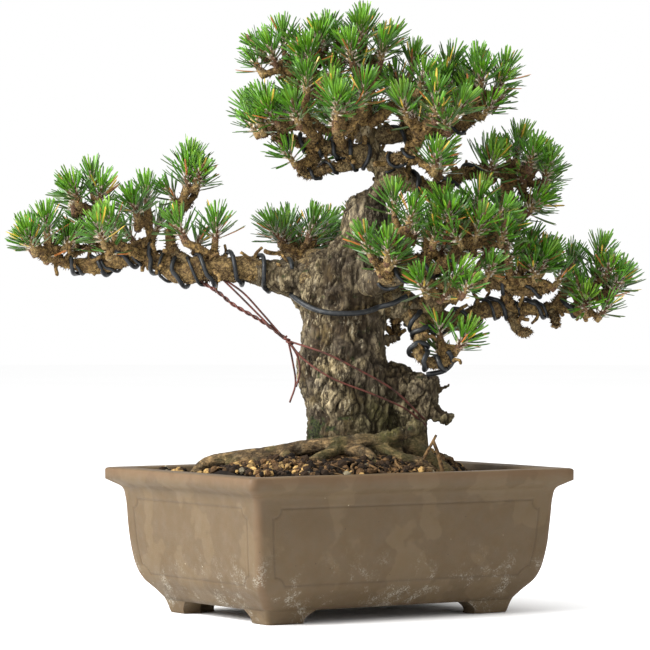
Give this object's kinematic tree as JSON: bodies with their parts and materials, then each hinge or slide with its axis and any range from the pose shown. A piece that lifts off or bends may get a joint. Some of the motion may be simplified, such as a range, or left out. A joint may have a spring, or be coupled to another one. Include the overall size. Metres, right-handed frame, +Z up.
{
  "type": "bonsai Japanese black pine in pot",
  "caption": "Bonsai Japanese black pine of the short-needled kotobuki kind, wired, in a brown rectangular footed pot.",
  "frame": {"origin": "on the ground under the middle of the whole plant's bounding box; the pot's own middle lies 14 mm along +X and 8 mm along -Y of it", "axes": "+X along the pot's long side, +Y along its short side towards the back, +Z up; the tree's widest side is turned by 33 degrees about Z"},
  "size_m": [0.3931, 0.2907, 0.4282],
  "materials": {
    "stoneware": "unglazed, matt",
    "soil": "granular",
    "bark": "thick plated bark",
    "twig_bark": "scaly young bark",
    "dark_wire": "dark anodised",
    "copper_wire": "dull annealed",
    "needles": "satin"
  },
  "bodies": {
    "root": {"pot": "stoneware", "soil": "soil", "trunk": "bark", "bough_left": "twig_bark", "bough_left_back": "twig_bark", "bough_right": "twig_bark", "bough_front_right": "twig_bark", "bough_low_right": "twig_bark", "bough_back_right": "twig_bark", "bough_upper_right": "twig_bark", "bough_crown_left": "twig_bark", "bough_crown_front": "twig_bark", "bough_crown_right": "twig_bark", "bough_crown_back": "twig_bark", "bough_crown_high": "twig_bark", "wire_trunk_ring": "dark_wire", "wire_left_bough": "dark_wire", "wire_right_bough": "dark_wire", "wire_upper_right": "dark_wire", "wire_low_right": "dark_wire", "wire_guy": "copper_wire", "needles_left_tip": "needles", "needles_left_far_high": "needles", "needles_left_far_low": "needles", "needles_left_far_back": "needles", "needles_left_middle_high": "needles", "needles_left_spire": "needles", "needles_left_near": "needles", "needles_left_root": "needles", "needles_left_behind": "needles", "needles_crown_far_left": "needles", "needles_crown_high_left": "needles", "needles_crown_apex": "needles", "needles_crown_high_front": "needles", "needles_crown_low_left": "needles", "needles_crown_front_left": "needles", "needles_crown_front": "needles", "needles_crown_hanging": "needles", "needles_crown_high_right": "needles", "needles_crown_far_right": "needles", "needles_crown_front_right": "needles", "needles_crown_low_right": "needles", "needles_crown_back_left": "needles", "needles_crown_back": "needles", "needles_crown_back_right": "needles", "needles_upper_right_near": "needles", "needles_upper_right": "needles", "needles_upper_right_tip": "needles", "needles_upper_right_low": "needles", "needles_front_high": "needles", "needles_front_low": "needles", "needles_front_middle": "needles", "needles_front_right": "needles", "needles_front_under": "needles", "needles_right_middle": "needles", "needles_right_high": "needles", "needles_right_tip": "needles", "needles_low_right": "needles", "needles_back_right": "needles", "needles_back": "needles"}
  },
  "joints": []
}
